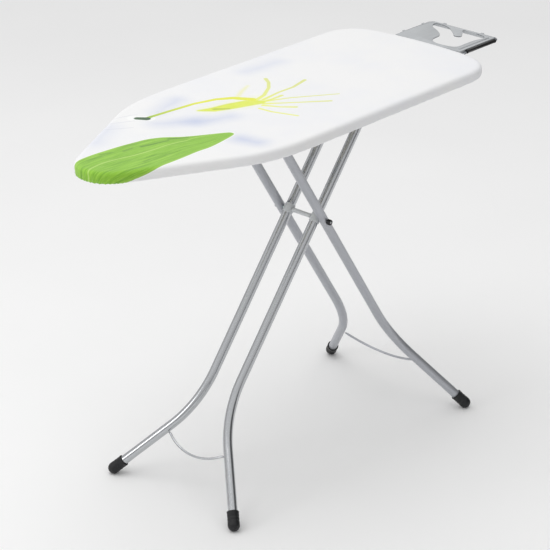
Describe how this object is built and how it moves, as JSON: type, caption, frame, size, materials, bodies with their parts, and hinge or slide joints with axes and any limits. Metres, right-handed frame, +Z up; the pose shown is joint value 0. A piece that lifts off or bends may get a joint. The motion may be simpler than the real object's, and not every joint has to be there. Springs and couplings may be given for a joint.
{
  "type": "ironing board",
  "caption": "Folding ironing board: tapered padded top with a printed cotton cover on crossing splayed tube legs, rubber feet, and a pierced metal iron rest at the square end.",
  "frame": {"origin": "on the floor under the centre of the object's box", "axes": "+X from the nose towards the iron rest, along the top; +Y across the top, to the side with the height lever; +Z up"},
  "size_m": [1.285, 0.467, 0.89],
  "materials": {
    "cover": "printed cotton, matt",
    "foam": "soft felt and foam",
    "leg_steel": "silver-grey powder coat, satin",
    "zinc_steel": "zinc plated, satin",
    "rest_steel": "pale grey coat, satin",
    "rest_wire": "dark grey coat, satin",
    "rubber": "matt black rubber",
    "silicone": "matt black silicone",
    "grey_plastic": "moulded, satin",
    "dark_plastic": "moulded, satin"
  },
  "bodies": {
    "board": {"cover": "cover", "foam_pad": "foam", "mesh_top": "zinc_steel", "board_rim": "leg_steel", "rail_near": "zinc_steel", "rail_far": "zinc_steel", "brace_nose": "zinc_steel", "brace_middle": "zinc_steel", "brace_rear": "zinc_steel", "height_rack": "zinc_steel", "lever_bracket": "zinc_steel", "lever_pin": "zinc_steel", "lever_spring": "zinc_steel", "rest_plate": "rest_steel", "rest_wire": "rest_wire", "rest_sleeve": "silicone", "rest_bracket_near": "grey_plastic", "rest_bracket_far": "grey_plastic", "rest_screw_near": "zinc_steel", "rest_screw_far": "zinc_steel"},
    "lever": {"release_lever": "zinc_steel", "lever_grip": "dark_plastic"},
    "front_frame": {"front_leg_near": "leg_steel", "front_leg_far": "leg_steel", "front_foot_near": "rubber", "front_foot_far": "rubber", "front_plug_near": "dark_plastic", "front_plug_far": "dark_plastic", "front_stay": "leg_steel", "front_cross_bar": "zinc_steel", "front_bar_cap_near": "dark_plastic", "front_bar_cap_far": "dark_plastic", "pivot_spacer": "grey_plastic", "pivot_saddle_near": "grey_plastic", "pivot_saddle_far": "grey_plastic"},
    "rear_frame": {"rear_leg_near": "leg_steel", "rear_leg_far": "leg_steel", "rear_foot_near": "rubber", "rear_foot_far": "rubber", "rear_plug_near": "dark_plastic", "rear_plug_far": "dark_plastic", "rear_stay": "leg_steel", "sliding_bar": "zinc_steel", "sliding_cap_near": "dark_plastic", "sliding_cap_far": "dark_plastic", "pivot_bolt": "zinc_steel", "pivot_cap": "rubber"}
  },
  "joints": [
    {"name": "leg_fold", "type": "hinge", "parent": "board", "child": "front_frame", "pos_m": [0.25999, 0, 0.8615], "axis": [0, 1, 0], "range_deg": [0, 47.58]},
    {"name": "leg_crossing", "type": "hinge", "parent": "front_frame", "child": "rear_frame", "pos_m": [0.038, 0, 0.5796], "axis": [0, 1, 0], "range_deg": [-100.1, 0]},
    {"name": "lever_squeeze", "type": "hinge", "parent": "board", "child": "lever", "pos_m": [-0.07542, 0.128, 0.858], "axis": [1, 0, 0], "range_deg": [0, 5], "stiffness_Nm_per_rad": 4, "springref_deg": -6.88}
  ],
  "couplings": [
    {"joint": "leg_crossing", "follows": "leg_fold", "ratio": -2.1027}
  ]
}
